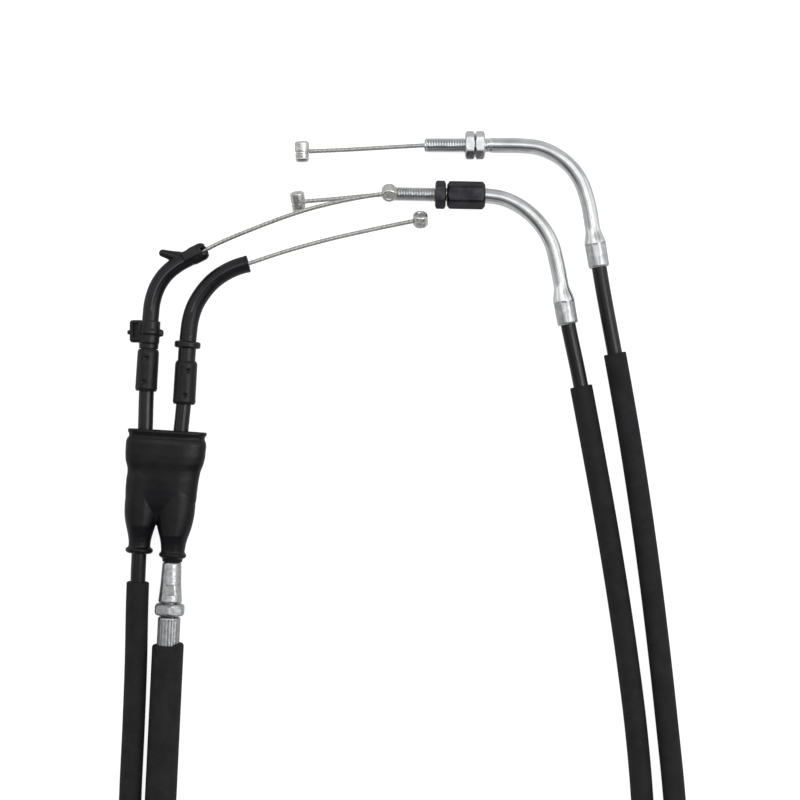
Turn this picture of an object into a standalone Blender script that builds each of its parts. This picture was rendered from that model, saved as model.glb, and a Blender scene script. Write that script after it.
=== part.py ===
"""A pair of motorcycle throttle cables: one pulls the throttle open, the other returns it.

They lie flat on a surface at z = 0, with their grip ends at -X and their throttle-body ends at +X.
Every length below is in millimetres, and the meshes are made in metres.
"""

import math

import bpy
import numpy as np

MM = 0.001
ORIGIN = (-13.08, -27.81)        # where the part's own origin stands in the drawing below

# Radii of the layers of a cable, from the middle out, 0.3 mm apart.
WIRE = 0.75
LINER = (1.05, 1.4)
WINDING = (1.7, 2.25)
JACKET = (2.55, 3.0)
SLEEVE = (3.3, 4.55)
COVER = (5.15, 6.3)
WIRE_BORE = 1.25                 # hole for the bare inner wire in every rigid end
CONDUIT_BORE = 3.45              # hole for the whole conduit
GAP = 0.3                        # between pieces that touch

GRIP_HEIGHT = 7.0                # the boot is 14 thick and carries the grip ends
HEX = 10.0                       # across flats of every nut
THREAD = 2.9                     # outer radius of an M6 thread
PIPE = 3.0                       # outer radius of the steel pipes
ELBOW = 3.3                      # outer radius of the moulded elbows
CRIMP = (3.75, 4.25)             # bore and outer radius of the crimped ferrules
GRIP_NIPPLE = (2.95, 5.4)        # radius and length of the barrels at the grip
THROTTLE_NIPPLE = (2.85, 8.2)    # and of those at the throttle
IN_LINE_HEX = 11.0               # across flats of the in-line adjuster's lock nut

# The return cable from the mouth of its grip elbow to the mouth of its throttle pipe.
RETURN_ROUTE = [
    (-78.2, 59.6, 7), (-83.7, 56.9, 7), (-89.2, 53.8, 7), (-93.8, 49.8, 7), (-97.0, 44.8, 7),
    (-98.8, 39.2, 7), (-99.5, 33.2, 7), (-99.95, 26.8, 7), (-100.5, 18.0, 7), (-101.2, 3.0, 7),
    (-101.75, -15.6, 7), (-103.0, -39.6, 7), (-104.26, -63.5, 7), (-105.0, -82, 6.3),
    (-105.6, -104, 5.0), (-106.6, -130, 4.55), (-107.9, -158, 4.55), (-108.6, -184, 4.55),
    (-104.7, -213, 4.55), (-93.7, -240, 4.55), (-76.2, -263.2, 4.55), (-53.4, -281, 4.55),
    (-26.9, -292.2, 4.55), (1.6, -296, 4.55), (30.1, -292.2, 4.55), (56.6, -281, 4.55),
    (79.4, -263.2, 4.55), (96.9, -240, 4.55), (107.9, -213, 4.55), (111.4, -184, 4.55),
    (109.7, -158, 4.55), (106.9, -130, 4.55), (104.3, -106, 4.55), (99.2, -64.4, 4.55),
    (92.1, -16.4, 4.55), (86.2, 17.2, 4.7), (81.2, 44.0, 5), (78.7, 59.0, 5), (77.0, 69.0, 5),
    (75.1, 79.5, 5), (71.9, 88.3, 5), (67.4, 94.2, 5), (62.0, 98.2, 5), (55.4, 100.9, 5),
    (48.5, 101.7, 5), (42.0, 101.85, 5), (34.0, 101.9, 5), (22.0, 101.9, 5), (9.8, 101.9, 5),
]
# The pull cable, the same way round. Its in-line adjuster takes a straight stretch.
PULL_ROUTE = [
    (-60.4, 54.4, 7), (-64.4, 53.3, 7), (-68.8, 51.4, 7), (-74.3, 47.7, 7), (-78.8, 42.7, 7),
    (-82.0, 37.2, 7), (-83.7, 31.6, 7), (-84.4, 26.4, 7), (-85.0, 19, 7), (-85.6, 9, 7),
    (-86.4, -2, 7), (-87.85, -16.4, 7), (-89.4, -40.4, 7), (-90.7, -58.5, 7), (-91.3, -70.5, 7),
    (-92.47, -94.5, 7), (-93.93, -124.4, 7), (-95.39, -154.4, 7), (-96.07, -168.4, 7),
    (-96.7, -181.4, 7), (-94.2, -211, 5.6), (-83.9, -235.9, 4.6), (-68.4, -255.6, 4.55),
    (-48.2, -270.6, 4.55), (-24.7, -280, 4.55), (0.6, -283, 4.55), (25.9, -279.8, 4.55),
    (49.4, -270.3, 4.55), (69.6, -255.2, 4.55), (85.1, -235.5, 4.55), (94.6, -212.6, 4.55),
    (98.0, -188, 4.55), (96.8, -158, 4.55), (94.3, -130, 4.55), (91.3, -106, 4.55),
    (84.4, -60.4, 4.55), (76.7, -17.2, 4.55), (71.2, 11.6, 4.7), (66.9, 32, 5), (64.6, 45, 5),
    (62.5, 55.8, 5), (60.8, 62.2, 5), (57.9, 67.8, 5), (53.2, 73.5, 5), (47.2, 78.0, 5),
    (41.0, 80.7, 5), (34.3, 81.75, 5), (24.0, 81.96, 5), (10.0, 82.24, 5), (-3.2, 82.5, 5),
]


class Route:
    """A smooth curve through hand-chosen points, measured by its own length."""

    def __init__(self, points, coarse=26, turn=16):
        """coarse is the longest step between rings, and turn the sharpest, in degrees."""
        knots = np.array(points, float)
        gaps = np.linalg.norm(np.diff(knots, axis=0), axis=1)
        slopes = np.diff(knots, axis=0) / gaps[:, None]
        tangents = np.vstack([slopes[:1], slopes])
        near = gaps[1:, None]
        far = gaps[:-1, None]
        tangents[1:-1] = (slopes[:-1] * near + slopes[1:] * far) / (near + far)
        dense = []
        for i, gap in enumerate(gaps):
            for u in np.linspace(0, 1, int(gap / 0.5) + 2)[:-1]:
                start = (1 + 2 * u) * (1 - u) ** 2 * knots[i] + u * (1 - u) ** 2 * gap * tangents[i]
                end = u * u * (3 - 2 * u) * knots[i + 1] - u * u * (1 - u) * gap * tangents[i + 1]
                dense.append(start + end)
        self.dense = np.vstack([dense, knots[-1]])
        steps = np.linalg.norm(np.diff(self.dense, axis=0), axis=1)
        self.lengths = np.concatenate([[0], np.cumsum(steps)])
        self.length = self.lengths[-1]
        self.stations = self.rings(coarse, math.radians(turn))

    def at(self, s):
        """Point at a length, which may run straight on past either end."""
        inside = min(max(s, 0), self.length)
        point = np.array([np.interp(inside, self.lengths, axis) for axis in self.dense.T])
        return point + (s - inside) * self.along(inside)

    def along(self, s):
        low = min(max(s - 0.6, 0), self.length - 1.2)
        ends = [[np.interp(t, self.lengths, axis) for axis in self.dense.T] for t in (low, low + 1.2)]
        step = np.subtract(ends[1], ends[0])
        return step / np.linalg.norm(step)

    def rings(self, coarse, turn):
        """Where rings go: close together in the bends and far apart on the straight runs."""
        stations = [0]
        for s in np.arange(1, self.length, 1):
            bend = math.acos(min(1, self.along(s) @ self.along(stations[-1])))
            if s - stations[-1] >= coarse or bend >= turn:
                stations.append(float(s))
        return stations + [self.length]

    def down(self, y):
        """Length to the first crossing of a line across the drawing, on the grip side."""
        return float(self.lengths[np.argmax(self.dense[:, 1] < y)])

    def up(self, y):
        """Length to the crossing of a line across the drawing, on the throttle side."""
        last = len(self.dense) - 1 - np.argmax(self.dense[::-1, 0] < 30)
        rising = np.where(self.dense[:last, 1] < y)[0]
        return float(self.lengths[rising[-1]])


def linear(hex_colour):
    values = [int(hex_colour[i:i + 2], 16) / 255 for i in (0, 2, 4)]
    return [((v + 0.055) / 1.055) ** 2.4 if v > 0.04 else v / 12.92 for v in values] + [1]


def material(name, hex_colour, roughness, metallic=0.0):
    made = bpy.data.materials.new(name)
    made.use_nodes = True
    shader = made.node_tree.nodes["Principled BSDF"]
    shader.inputs["Base Color"].default_value = linear(hex_colour)
    shader.inputs["Roughness"].default_value = roughness
    shader.inputs["Metallic"].default_value = metallic
    return made


FINISHES = {
    "zinc": ("c9ccd0", 0.25, 1.0), "cast_zinc": ("a9abae", 0.4, 1.0), "black_steel": ("2a2a2c", 0.45, 1.0),
    "wire_rope": ("b4b4b4", 0.35, 1.0), "spring_steel": ("8d8f93", 0.4, 1.0), "nylon": ("232325", 0.5),
    "rubber": ("262628", 0.65), "sleeve_rubber": ("2a2a2b", 0.8), "vinyl": ("202022", 0.4),
    "liner_plastic": ("e8e6dd", 0.4),
}


def placed(vector):
    return [(vector[0] - ORIGIN[0]) * MM, (vector[1] - ORIGIN[1]) * MM, vector[2] * MM]


def finish(body, surface):
    body.data.materials.append(material(body.name, *FINISHES[surface]))
    if body.type == "MESH":
        body.data.shade_smooth()
        body.data.set_sharp_from_angle(angle=math.radians(35))
    return body


def facing_out(points, faces):
    """The faces, all turned over if they enclose a negative volume."""
    corners = np.array(points, float)
    volume = sum(np.dot(corners[f[0]], np.cross(corners[f[i]], corners[f[i + 1]]))
                 for f in faces for i in range(1, len(f) - 1))
    return faces if volume > 0 else [face[::-1] for face in faces]


def object_from(name, points, faces, surface, at=None, heading=0.0):
    """A mesh object in metres. With a place of its own it is turned about Z to face its heading."""
    faces = facing_out(points, faces)
    mesh = bpy.data.meshes.new(name)
    scaled = [[c * MM for c in p] for p in points] if at is not None else [placed(p) for p in points]
    mesh.from_pydata(scaled, [], faces)
    body = bpy.data.objects.new(name, mesh)
    bpy.context.scene.collection.objects.link(body)
    if at is not None:
        body.location = placed(at)
        body.rotation_euler.z = heading
    return finish(body, surface)


def loft(rings, hollow):
    """Points and faces of a skin over rings of equal count, closed on itself or capped."""
    count = len(rings[0])
    points = [p for ring in rings for p in ring]
    faces = []
    last = len(rings) if hollow else len(rings) - 1
    for i in range(last):
        a = i * count
        b = (i + 1) % len(rings) * count
        for k in range(count):
            m = (k + 1) % count
            faces.append((a + k, b + k, b + m, a + m))
    if not hollow:
        faces.append(tuple(range(count)))
        faces.append(tuple(len(points) - 1 - k for k in range(count)))
    return points, faces


def refine(profile, stations):
    """A profile of (length, radius) with a ring at each of the route's stations."""
    rings = [profile[0]]
    for (s0, r0), (s1, r1) in zip(profile, profile[1:]):
        inside = [s for s in stations if s0 + 0.8 < s < s1 - 0.8]
        rings += [(s, r0 + (r1 - r0) * (s - s0) / (s1 - s0)) for s in inside]
        rings.append((s1, r1))
    return rings


def swept(name, route, outer, inner, sides, surface):
    """A tube along a route. outer and inner are (length, radius) profiles that start together."""
    profile = refine(outer, route.stations)
    if inner:
        profile = profile + refine(inner, route.stations)[::-1]
    rings = []
    for s, radius in profile:
        centre = route.at(s)
        ahead = route.along(s)
        left = np.array([-ahead[1], ahead[0], 0]) / math.hypot(ahead[0], ahead[1])
        over = np.cross(ahead, left)
        angles = [2 * math.pi * k / sides for k in range(sides)]
        rings.append([centre + radius * (math.cos(a) * left + math.sin(a) * over) for a in angles])
    points, faces = loft(rings, bool(inner))
    return object_from(name, points, faces, surface)


def layer(name, route, start, end, radii, sides, surface):
    """A plain tube between two lengths of a route, with an inner and an outer radius."""
    return swept(name, route, [(start, radii[1]), (end, radii[1])], [(start, radii[0]), (end, radii[0])],
                 sides, surface)


def wire(name, points):
    """A round wire: a curve with a bevel and filled caps through the given points."""
    curve = bpy.data.curves.new(name, "CURVE")
    curve.dimensions = "3D"
    curve.bevel_depth = WIRE * MM
    curve.bevel_resolution = 2
    curve.use_fill_caps = True
    line = curve.splines.new("POLY")
    line.points.add(len(points) - 1)
    for knot, point in zip(line.points, points):
        knot.co = placed(point) + [1]
    body = bpy.data.objects.new(name, curve)
    bpy.context.scene.collection.objects.link(body)
    return finish(body, "wire_rope")


def hidden_wire(name, route, start, end):
    return wire(name, [route.at(s) for s, _ in refine([(start, 0), (end, 0)], route.stations)])


def circle(radius):
    return [radius] * 12


def hexagon(across_flats, first_corner=0):
    """Twelve radii: the corners, and the middles of the flats. Counted from 0, a flat faces down."""
    return [across_flats / 2 / (math.cos(math.pi / 6) if k % 2 == first_corner else 1) for k in range(12)]


def turned(name, outer, inner, surface, at, heading):
    """A lathe piece or nut about its own X axis. Each profile point is (x, twelve radii)."""
    profile = outer + inner[::-1]
    rings = [[(x, r * math.cos(math.pi * k / 6), r * math.sin(math.pi * k / 6))
              for k, r in enumerate(radii)] for x, radii in profile]
    points, faces = loft(rings, bool(inner))
    return object_from(name, points, faces, surface, at, heading)


def heading_of(vector):
    return math.atan2(vector[1], vector[0])


def on_route(name, route, s, outer, inner, surface):
    """A turned piece whose X axis runs along a route from the length s."""
    return turned(name, outer, inner, surface, route.at(s), heading_of(route.along(s)))


def ring(x0, x1, bore, outside):
    """Outer and inner profiles of a plain ring."""
    return [(x0, outside), (x1, outside)], [(x0, circle(bore)), (x1, circle(bore))]


def box(name, centre, size, heading=0.0):
    """A guide block for a Boolean, centred on a point and turned about Z."""
    half = [c / 2 for c in size]
    points = [(x * half[0], y * half[1], z * half[2]) for x in (-1, 1) for y in (-1, 1) for z in (-1, 1)]
    faces = [(0, 1, 3, 2), (4, 6, 7, 5), (0, 4, 5, 1), (2, 3, 7, 6), (0, 2, 6, 4), (1, 5, 7, 3)]
    return object_from(name, points, faces, "nylon", centre, heading)


def combine(body, guide, operation):
    """Join a guide to a body, or cut it away, and keep the guide out of the model."""
    guide.hide_render = True
    guide.display_type = "WIRE"
    step = body.modifiers.new(operation.title(), "BOOLEAN")
    step.operation = operation
    step.object = guide
    step.solver = "EXACT"


def grip_elbow(name, route, radius, end):
    """The moulded bend at the grip, still without the hole for its wire."""
    return swept(name, route, [(0, radius), (end, radius)], [], 12, "nylon")


def drill(body, route, end):
    """The hole for the wire, right through a swept piece."""
    hole = swept(body.name + "_hole", route, [(-3, WIRE_BORE), (end + 3, WIRE_BORE)], [], 8, "nylon")
    combine(body, hole, "DIFFERENCE")


def barrel_nipple(name, size, centre, lean_from_y, tilt):
    """A plain barrel across its wire: its axis leans from +Y in plan and rises by the tilt."""
    radius, length = size
    half = length / 2
    chamfer = 0.5
    profile = [(-half, radius - chamfer), (-half + chamfer, radius), (half - chamfer, radius),
               (half, radius - chamfer)]
    body = turned(name, [(x, circle(r)) for x, r in profile], [], "cast_zinc", centre,
                  math.radians(90 + lean_from_y))
    body.rotation_mode = "XYZ"
    body.rotation_euler.y = math.radians(-tilt)
    return body


def bare_wire(name, route, s, knots, nipple_centre):
    """The bare stretch of wire from just inside a mouth to just short of its nipple."""
    start = route.at(s)
    inside = start + (0.5 if s < 10 else -0.5) * route.along(s)
    bend = Route([tuple(inside)] + knots + [nipple_centre], coarse=12, turn=30)
    last = bend.length - GRIP_NIPPLE[0] - GAP
    return wire(name, [bend.at(t) for t, _ in refine([(0, 0), (last, 0)], bend.stations)])


def boot_section(y, left, right, thick, power):
    """An oval ring across the boot: a superellipse from left to right."""
    middle = (left + right) / 2
    half = (right - left) / 2
    points = []
    for k in range(20):
        angle = 2 * math.pi * k / 20
        c, s = math.cos(angle), math.sin(angle)
        x = middle + half * math.copysign(abs(c) ** (2 / power), c)
        points.append((x, y, thick * math.copysign(abs(s) ** (2 / power), s)))
    return points


def boot_leg(name, x, profile):
    """A round leg or bore of the boot, along its own Y axis at x."""
    rings = [[(x + r * math.cos(math.pi * k / 6), y, r * math.sin(math.pi * k / 6)) for k in range(12)]
             for y, r in profile]
    points, faces = loft(rings, False)
    return object_from(name, points, faces, "rubber", BOOT_CENTRE, -BOOT_LEAN)


BOOT_CENTRE = (-95.6, -30.0, GRIP_HEIGHT)
BOOT_LEAN = math.radians(3.35)
BOOT_LEGS = {"return": -6.73, "pull": 6.7}    # their middles across the boot
BOOT_BORE = 3.5
BOOT_BODY = [                                 # along, left, right and half thickness
    (18.0, -14.0, 17.5, 6.6), (16.5, -14.0, 17.5, 6.6), (15.9, -13.5, 16.9, 6.1),
    (14.9, -13.5, 16.9, 6.1), (13.4, -14.4, 17.6, 6.9), (8.0, -14.5, 17.4, 7.0), (4.0, -13.9, 16.6, 6.6),
    (0.4, -13.2, 15.6, 6.3), (-3.0, -13.6, 15.3, 6.3), (-10.0, -13.8, 15.0, 6.4), (-17.0, -13.2, 14.5, 6.2),
    (-19.0, -12.6, 13.6, 5.6),
]
BOOT_CAVITY = [(19.0, -12.5, 14.9, 5.1), (4.0, -12.5, 14.6, 5.1), (-1.0, -12.2, 13.8, 5.0),
               (-11.0, -12.1, 13.4, 4.9), (-15.5, -11.4, 12.6, 4.4)]


def double_boot():
    rings = [boot_section(y, left, right, thick, 2.6) for y, left, right, thick in BOOT_BODY]
    points, faces = loft(rings, False)
    boot = object_from("double_dust_boot", points, faces, "rubber", BOOT_CENTRE, -BOOT_LEAN)
    shapes = {
        "return": [(-14, 5.9), (-18, 5.9), (-22, 5.35), (-26, 4.75), (-29, 4.6), (-29.5, 5.55), (-31.1, 5.55),
                   (-31.6, 4.5)],
        "pull": [(-14, 6.0), (-18, 6.2), (-22, 6.0), (-26, 5.0), (-30.4, 4.7), (-30.9, 5.45), (-32.4, 5.45),
                 (-32.8, 3.95), (-34.3, 3.95)],
    }
    for side, profile in shapes.items():
        combine(boot, boot_leg(side + "_leg", BOOT_LEGS[side], profile), "UNION")
    rings = [boot_section(y, left, right, thick, 3.0) for y, left, right, thick in BOOT_CAVITY]
    points, faces = loft(rings, False)
    cavity = object_from("boot_cavity", points, faces, "rubber", BOOT_CENTRE, -BOOT_LEAN)
    combine(boot, cavity, "DIFFERENCE")
    for side, x in BOOT_LEGS.items():
        bore = boot_leg(side + "_bore", x, [(-12, BOOT_BORE), (-37, BOOT_BORE)])
        combine(boot, bore, "DIFFERENCE")


def conduit(prefix, route, start, end):
    """Jacket, flat-steel winding and plastic liner of a stretch of conduit."""
    layer(prefix + "_jacket", route, start, end, JACKET, 8, "vinyl")
    layer(prefix + "_winding", route, start, end, WINDING, 6, "spring_steel")
    layer(prefix + "_liner", route, start, end, LINER, 6, "liner_plastic")


def throttle_pipe(name, route, tip, thread_end, swage):
    """A bent steel pipe: an M6 thread at the throttle, swaged over the conduit at its other end."""
    flare, body, mouth = swage
    outer = [(mouth, 4.2), (body, 4.25), (flare, PIPE), (thread_end, PIPE)]
    if tip > thread_end:
        outer += [(thread_end, THREAD), (tip, THREAD)]
    shoulder = body + 1.5
    inner = [(mouth, CONDUIT_BORE), (shoulder - 1, CONDUIT_BORE), (shoulder - 1, WIRE_BORE), (tip, WIRE_BORE)]
    swept(name, route, outer, inner, 10, "zinc")


def return_cable():
    route = Route(RETURN_ROUTE)
    elbow_end = route.down(15.5)
    elbow = grip_elbow("return_grip_elbow", route, ELBOW, elbow_end)
    mouth = box("mouth_block", route.at(5.0), (9.6, 7.6, 7.6), heading_of(route.along(5.0)))
    fin = box("fin", (-90.2, 58.2, GRIP_HEIGHT), (13.0, 2.4, 4.0), math.radians(-4))
    web = box("fin_web", (-86.6, 57.0, GRIP_HEIGHT), (5.0, 3.4, 4.0), math.radians(-18))
    for guide in (mouth, fin, web):
        combine(elbow, guide, "UNION")
    drill(elbow, route, elbow_end)

    clip_at = route.down(29.2)
    clip_turn = heading_of(route.along(clip_at))
    clip = on_route("return_elbow_clip", route, clip_at, [(0, circle(4.8)), (5, circle(4.8))], [], "nylon")
    loop = box("clip_loop", (-105.1, 27.5, GRIP_HEIGHT), (5.6, 8.8, 4.4))
    slot = box("clip_slot", (-105.4, 27.8, GRIP_HEIGHT), (2.2, 6.0, 9))
    hole = turned("clip_hole", [(-6, circle(3.65)), (12, circle(3.65))], [], "nylon", route.at(clip_at),
                  clip_turn)
    combine(clip, loop, "UNION")
    combine(clip, slot, "DIFFERENCE")
    combine(clip, hole, "DIFFERENCE")

    crimp_start = route.down(20.4)
    outer, inner = ring(0, route.down(3.6) - crimp_start, CRIMP[0], circle(CRIMP[1]))
    on_route("return_grip_ferrule", route, crimp_start, outer, inner, "black_steel")
    pipe_swage = [route.up(69.0), route.up(63.5), route.up(53.2)]
    conduit("return", route, elbow_end + GAP, pipe_swage[1] + 0.2)
    layer("return_sleeve", route, route.down(-72.4), route.up(18.8), SLEEVE, 8, "sleeve_rubber")
    hidden_wire("return_inner_wire", route, 1.0, route.length - 1.0)

    tip = route.length
    throttle_pipe("return_throttle_pipe", route, tip, tip - 24.6, pipe_swage)
    for name, from_tip in (("return_outer_nut", 16.3), ("return_inner_nut", 20.3)):
        outer, inner = ring(-3.8, 0, 3.2, hexagon(HEX))
        turned(name, outer, inner, "zinc", route.at(tip - from_tip), heading_of(route.along(tip)))

    grip_nipple = (-4.3, 82.2, 12.6)
    barrel_nipple("return_grip_nipple", GRIP_NIPPLE, grip_nipple, 2, -45)
    bare_wire("return_grip_wire", route, 0, [(-71.5, 62.9, 7.3), (-59, 68.0, 8.2), (-35.8, 76.0, 10.2),
                                             (-21.8, 79.3, 11.3)], grip_nipple)
    far_nipple = (-39.2, 99.4, 4.2)
    barrel_nipple("return_throttle_nipple", THROTTLE_NIPPLE, far_nipple, 1, 3)
    bare_wire("return_throttle_wire", route, tip, [(-2.0, 101.2, 4.95), (-20, 100.2, 4.6)], far_nipple)


def pull_cable():
    route = Route(PULL_ROUTE)
    elbow_end = route.down(11.0)
    elbow = grip_elbow("pull_grip_elbow", route, ELBOW + 0.1, elbow_end)
    drill(elbow, route, elbow_end)
    collar_at = route.down(23.6)
    outer, inner = ring(0, 2.8, 3.75, circle(5.2))
    on_route("pull_elbow_collar", route, collar_at, outer, inner, "nylon")
    crimp_start = route.down(15.8)
    outer, inner = ring(0, route.down(-1.6) - crimp_start, CRIMP[0], circle(CRIMP[1]))
    on_route("pull_grip_ferrule", route, crimp_start, outer, inner, "black_steel")

    top = route.down(-64.8)                    # the in-line adjuster's upper end
    conduit("pull_upper", route, elbow_end + GAP, top + 8.0)
    bolt = [(0, circle(3.75)), (9.6, circle(3.75)), (11.5, circle(4.6)), (16.1, circle(4.6)),
            (16.1, circle(THREAD)), (37, circle(THREAD))]
    bore = [(0, circle(CONDUIT_BORE)), (8.3, circle(CONDUIT_BORE)), (8.3, circle(WIRE_BORE)),
            (37, circle(WIRE_BORE))]
    on_route("pull_adjuster_bolt", route, top, bolt, bore, "zinc")
    outer, inner = ring(0, 4.7, 3.2, hexagon(IN_LINE_HEX, 1))
    on_route("pull_adjuster_lock_nut", route, top + 16.4, outer, inner, "zinc")
    outer, inner = ring(0, 26.3, 3.4, circle(4.5))
    on_route("pull_adjuster_barrel", route, top + 21.7, outer, inner, "zinc")
    outer, inner = ring(0, 9.0, 3.35, circle(4.2))
    on_route("pull_lower_end_cap", route, top + 48.3, outer, inner, "nylon")
    outer, inner = ring(0, 65.0, COVER[0], circle(COVER[1]))
    on_route("pull_adjuster_cover", route, top + 32.9, outer, inner, "sleeve_rubber")

    pipe_swage = [route.up(46.6), route.up(40.5), route.up(30.4)]
    conduit("pull_lower", route, top + 42, pipe_swage[1] + 0.2)
    layer("pull_sleeve", route, top + 64, route.up(5.7), SLEEVE, 8, "sleeve_rubber")
    hidden_wire("pull_inner_wire", route, 1.0, route.length - 1.0)

    tip = route.length
    pipe_end = tip - 32.2
    throttle_pipe("pull_throttle_pipe", route, pipe_end, pipe_end, pipe_swage)
    out = heading_of(route.along(tip))
    outer, inner = ring(0, 31.0, WIRE_BORE, circle(THREAD - 0.1))
    turned("pull_threaded_stud", outer, inner, "zinc", route.at(tip - 31.0), out)
    outer, inner = ring(0, 4.2, 3.2, hexagon(HEX))
    turned("pull_throttle_lock_nut", outer, inner, "black_steel", route.at(tip - 21.5), out)
    outer, inner = ring(0, 15.3, 3.35, hexagon(HEX))
    turned("pull_throttle_adjuster", outer, inner, "black_steel", route.at(tip - 37.3), out)

    grip_nipple = (8.2, 72.2, 4.1)
    barrel_nipple("pull_grip_nipple", GRIP_NIPPLE, grip_nipple, 3, 38)
    bare_wire("pull_grip_wire", route, 0, [(-43.6, 60.0, 6.2), (-29.2, 64.0, 5.4), (-12.2, 68.0, 4.3)],
              grip_nipple)
    far_nipple = (-40.8, 79.3, 3.9)
    barrel_nipple("pull_throttle_nipple", THROTTLE_NIPPLE, far_nipple, 6, 16)
    bare_wire("pull_throttle_wire", route, tip, [(-13.0, 81.7, 4.7), (-26, 80.5, 4.3)], far_nipple)


for old in list(bpy.data.objects):
    bpy.data.objects.remove(old, do_unlink=True)
return_cable()
pull_cable()
double_boot()
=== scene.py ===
import math

import bmesh
import bpy
import numpy as np
from mathutils import Matrix, Vector


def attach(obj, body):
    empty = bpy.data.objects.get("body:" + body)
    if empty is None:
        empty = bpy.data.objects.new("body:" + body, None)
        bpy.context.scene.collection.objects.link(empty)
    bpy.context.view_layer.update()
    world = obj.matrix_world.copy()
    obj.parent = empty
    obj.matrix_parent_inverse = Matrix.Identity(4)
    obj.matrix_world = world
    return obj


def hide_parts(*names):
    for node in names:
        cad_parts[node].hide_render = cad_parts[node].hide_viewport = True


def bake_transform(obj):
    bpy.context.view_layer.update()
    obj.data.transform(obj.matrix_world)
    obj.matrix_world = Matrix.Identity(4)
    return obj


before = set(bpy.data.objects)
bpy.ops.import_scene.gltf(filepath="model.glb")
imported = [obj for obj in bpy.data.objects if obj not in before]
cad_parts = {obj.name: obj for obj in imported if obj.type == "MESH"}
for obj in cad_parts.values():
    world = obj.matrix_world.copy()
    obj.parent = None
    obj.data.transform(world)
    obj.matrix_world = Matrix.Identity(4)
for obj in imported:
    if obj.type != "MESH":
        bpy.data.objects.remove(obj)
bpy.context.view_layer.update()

mm = 0.001
origin = np.array([-13.08, -27.81, 0.0])  # the frame's origin, in the drawing's mm


def toWorld(points):
    return (np.asarray(points, float) - origin) * mm


def smooth(t):
    t = np.clip(t, 0, 1)
    return t * t * (3 - 2 * t)


# The camera looks straight down. Its view is width mm wide at the height called level.

view = {"lens": 100, "sensor": 36, "width": 320, "level": 5.0, "reach": 20}
camera = bpy.data.objects.new("topCamera", bpy.data.cameras.new("topCamera"))
camera.data.lens = view["lens"]
camera.data.sensor_width = view["sensor"]
cameraHigh = view["level"] + view["width"] * view["lens"] / view["sensor"]
camera.location = toWorld((0, 0, cameraHigh))
camera.data.clip_end = view["reach"]  # metres
bpy.context.scene.collection.objects.link(camera)
bpy.context.scene.camera = camera


# Routes: points on each cable's centre line in mm, from its grip end to its throttle end. Both cables lie
# on the floor, and turn back in one flat bend.

returnPoints = [
    (-78.2, 59.6, 7), (-83.7, 56.9, 7), (-89.2, 53.8, 7), (-93.8, 49.8, 7), (-97.0, 44.8, 7),
    (-98.8, 39.2, 7), (-99.5, 33.2, 7), (-99.95, 26.8, 7), (-100.5, 18.0, 7), (-101.2, 3.0, 7),
    (-101.75, -15.6, 7), (-103.0, -39.6, 7), (-104.26, -63.5, 7), (-105.0, -82, 6.3),
    (-105.6, -104, 5.0), (-106.6, -130, 4.55), (-107.9, -158, 4.55), (-108.6, -184, 4.55),
    (-104.7, -213, 4.55), (-93.7, -240, 4.55), (-76.2, -263.2, 4.55), (-53.4, -281, 4.55),
    (-26.9, -292.2, 4.55), (1.6, -296, 4.55), (30.1, -292.2, 4.55), (56.6, -281, 4.55),
    (79.4, -263.2, 4.55), (96.9, -240, 4.55), (107.9, -213, 4.55), (111.4, -184, 4.55),
    (109.7, -158, 4.55), (106.9, -130, 4.55), (104.3, -106, 4.55), (99.2, -64.4, 4.55),
    (92.1, -16.4, 4.55), (86.2, 17.2, 4.7), (81.2, 44.0, 5), (78.7, 59.0, 5), (77.0, 69.0, 5),
    (75.1, 79.5, 5), (71.9, 88.3, 5), (67.4, 94.2, 5), (62.0, 98.2, 5), (55.4, 100.9, 5),
    (48.5, 101.7, 5), (42.0, 101.85, 5), (34.0, 101.9, 5), (22.0, 101.9, 5), (9.8, 101.9, 5),
]
pullPoints = [
    (-60.4, 54.4, 7), (-64.4, 53.3, 7), (-68.8, 51.4, 7), (-74.3, 47.7, 7), (-78.8, 42.7, 7),
    (-82.0, 37.2, 7), (-83.7, 31.6, 7), (-84.4, 26.4, 7), (-85.0, 19, 7), (-85.6, 9, 7),
    (-86.4, -2, 7), (-87.85, -16.4, 7), (-89.4, -40.4, 7), (-90.7, -58.5, 7), (-91.3, -70.5, 7),
    (-92.47, -94.5, 7), (-93.93, -124.4, 7), (-95.39, -154.4, 7), (-96.07, -168.4, 7),
    (-96.7, -181.4, 7), (-94.2, -211, 5.6), (-83.9, -235.9, 4.6), (-68.4, -255.6, 4.55),
    (-48.2, -270.6, 4.55), (-24.7, -280, 4.55), (0.6, -283, 4.55), (25.9, -279.8, 4.55),
    (49.4, -270.3, 4.55), (69.6, -255.2, 4.55), (85.1, -235.5, 4.55), (94.6, -212.6, 4.55),
    (98.0, -188, 4.55), (96.8, -158, 4.55), (94.3, -130, 4.55), (91.3, -106, 4.55),
    (84.4, -60.4, 4.55), (76.7, -17.2, 4.55), (71.2, 11.6, 4.7), (66.9, 32, 5), (64.6, 45, 5),
    (62.5, 55.8, 5), (60.8, 62.2, 5), (57.9, 67.8, 5), (53.2, 73.5, 5), (47.2, 78.0, 5),
    (41.0, 80.7, 5), (34.3, 81.75, 5), (24.0, 81.96, 5), (10.0, 82.24, 5), (-3.2, 82.5, 5),
]


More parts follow.
